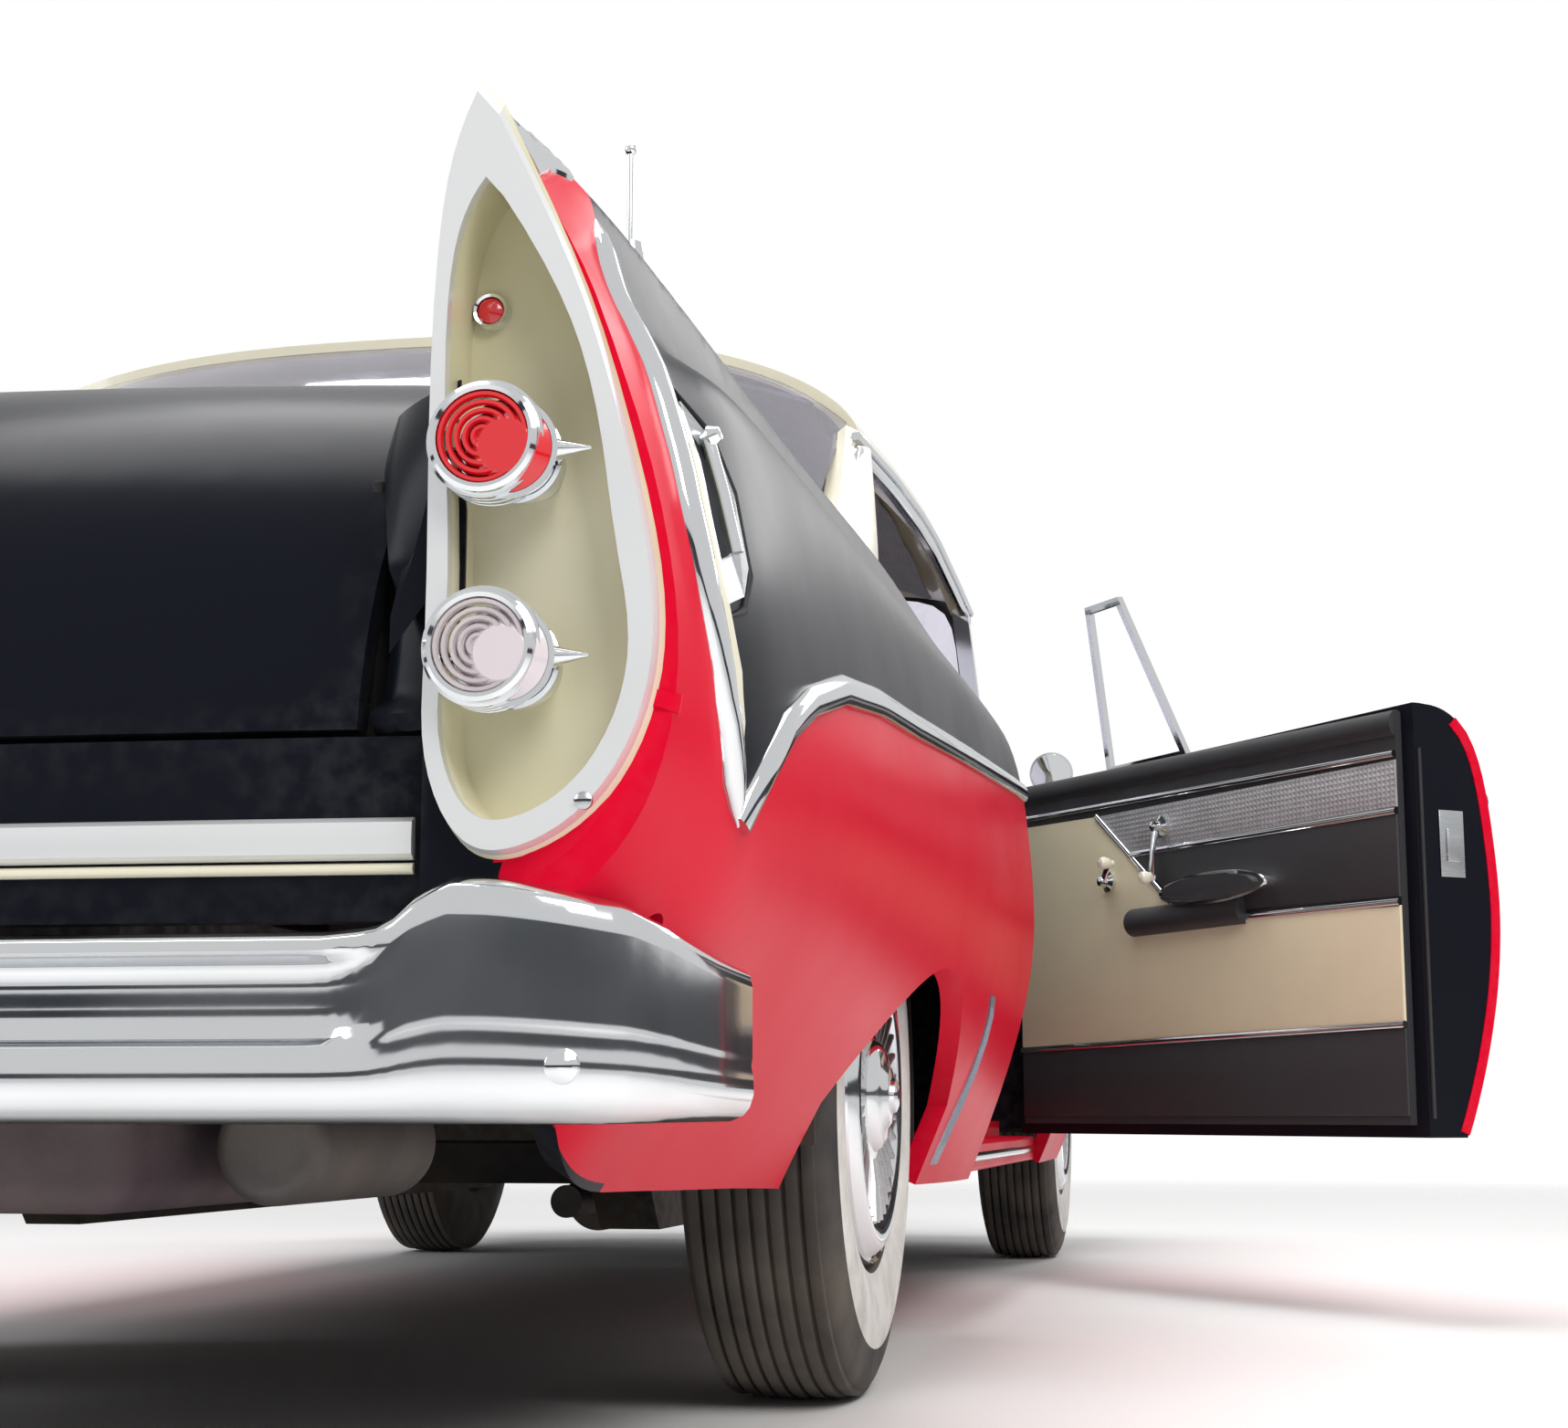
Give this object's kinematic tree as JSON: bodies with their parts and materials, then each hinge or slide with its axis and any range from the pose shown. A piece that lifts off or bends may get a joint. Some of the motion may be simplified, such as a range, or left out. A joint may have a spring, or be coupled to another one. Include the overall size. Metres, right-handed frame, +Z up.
{
  "type": "two-door hardtop car of the middle 1950s",
  "caption": "Full-size 1950s hardtop car with tail fins, twin stacked tail lamps, whitewall tyres and an open right door.",
  "frame": {"origin": "on the ground, on the centre line, under the middle of the wheelbase", "axes": "+X to the car's right, +Y forwards, +Z up"},
  "size_m": [2.6445, 5.388, 1.53],
  "materials": {
    "paint_black": "gloss",
    "paint_red": "gloss",
    "paint_cream": "gloss",
    "frame_black": "satin",
    "chrome": "polished",
    "glass": "clear",
    "lens_red": "clear red",
    "tyre": "black with white sidewall",
    "trim_cloth": "woven",
    "vinyl": "grained",
    "engine_iron": "painted",
    "steel": "dull",
    "plastic_cream": "gloss",
    "tank_black": "matt"
  },
  "bodies": {
    "body": {"chassis_frame": "frame_black", "floor_pan": "frame_black", "trunk_floor": "frame_black", "rocker_panels": "paint_red", "quarter_panel_left": "paint_red", "quarter_panel_right": "paint_red", "front_fender_left": "paint_red", "front_fender_right": "paint_red", "roof_panel": "paint_cream", "rear_pillars": "paint_cream", "windscreen": "glass", "rear_window": "glass", "windscreen_pillars": "chrome", "cowl_panel": "paint_black", "upper_deck": "paint_black", "tail_panel": "paint_black", "lamp_bezels": "chrome", "tail_lamp_pods": "chrome", "tail_lamp_lenses": "lens_red", "rear_bumper": "chrome", "front_bumper": "chrome", "grille": "chrome", "headlamps": "chrome", "headlamp_panels": "paint_black", "front_seat": "trim_cloth", "rear_seat": "trim_cloth", "dashboard": "paint_black", "steering_column": "paint_black", "engine_block": "engine_iron", "radiator": "steel", "front_suspension": "steel", "leaf_springs": "steel", "rear_axle": "steel", "fuel_tank": "tank_black", "exhaust": "steel", "fender_mirrors": "chrome", "rear_aerials": "chrome", "plate_bracket": "steel"},
    "door_right": {"door_right": "paint_red", "door_trim_right": "vinyl", "vent_frame_right": "chrome"},
    "door_left": {"door_left": "paint_red", "door_trim_left": "vinyl", "vent_frame_left": "chrome"},
    "hood": {"hood": "paint_black"},
    "trunk_lid": {"trunk_lid": "paint_black"},
    "steering_right": {"knuckle_right": "steel"},
    "steering_left": {"knuckle_left": "steel"},
    "wheel_front_right": {"wheel_front_right": "chrome", "tyre_front_right": "tyre"},
    "wheel_front_left": {"wheel_front_left": "chrome", "tyre_front_left": "tyre"},
    "wheel_rear_right": {"wheel_rear_right": "chrome", "tyre_rear_right": "tyre"},
    "wheel_rear_left": {"wheel_rear_left": "chrome", "tyre_rear_left": "tyre"},
    "steering_wheel": {"steering_wheel": "plastic_cream"}
  },
  "joints": [
    {"name": "door_right_hinge", "type": "hinge", "parent": "body", "child": "door_right", "pos_m": [0.94505, 0.681, 0.6], "axis": [0, 0, 1], "range_deg": [-36, 30]},
    {"name": "door_left_hinge", "type": "hinge", "parent": "body", "child": "door_left", "pos_m": [-0.94505, 0.681, 0.6], "axis": [0, 0, -1], "range_deg": [0, 66]},
    {"name": "hood_hinge", "type": "hinge", "parent": "body", "child": "hood", "pos_m": [0, 0.982, 1.0343], "axis": [1, 0, 0], "range_deg": [0, 50]},
    {"name": "trunk_lid_hinge", "type": "hinge", "parent": "body", "child": "trunk_lid", "pos_m": [0, -1.702, 1.0264], "axis": [-1, 0, 0], "range_deg": [0, 60]},
    {"name": "steer_left", "type": "hinge", "parent": "body", "child": "steering_left", "pos_m": [-0.64, 1.524, 0.359], "axis": [0, 0, 1], "range_deg": [-30, 30]},
    {"name": "steer_right", "type": "hinge", "parent": "body", "child": "steering_right", "pos_m": [0.64, 1.524, 0.359], "axis": [0, 0, 1], "range_deg": [-30, 30]},
    {"name": "steering_wheel_turn", "type": "hinge", "parent": "body", "child": "steering_wheel", "pos_m": [-0.37, 0.457, 0.9308], "axis": [0, -0.8829, 0.4695], "range_deg": [-540, 540]},
    {"name": "wheel_front_right_spin", "type": "hinge", "parent": "steering_right", "child": "wheel_front_right", "pos_m": [0.74, 1.524, 0.359], "axis": [1, 0, 0], "continuous": true},
    {"name": "wheel_front_left_spin", "type": "hinge", "parent": "steering_left", "child": "wheel_front_left", "pos_m": [-0.74, 1.524, 0.359], "axis": [1, 0, 0], "continuous": true},
    {"name": "wheel_rear_right_spin", "type": "hinge", "parent": "body", "child": "wheel_rear_right", "pos_m": [0.74, -1.524, 0.359], "axis": [1, 0, 0], "continuous": true},
    {"name": "wheel_rear_left_spin", "type": "hinge", "parent": "body", "child": "wheel_rear_left", "pos_m": [-0.74, -1.524, 0.359], "axis": [1, 0, 0], "continuous": true}
  ],
  "couplings": [
    {"joint": "steer_right", "follows": "steer_left", "ratio": 1},
    {"joint": "steering_wheel_turn", "follows": "steer_left", "ratio": 18}
  ]
}
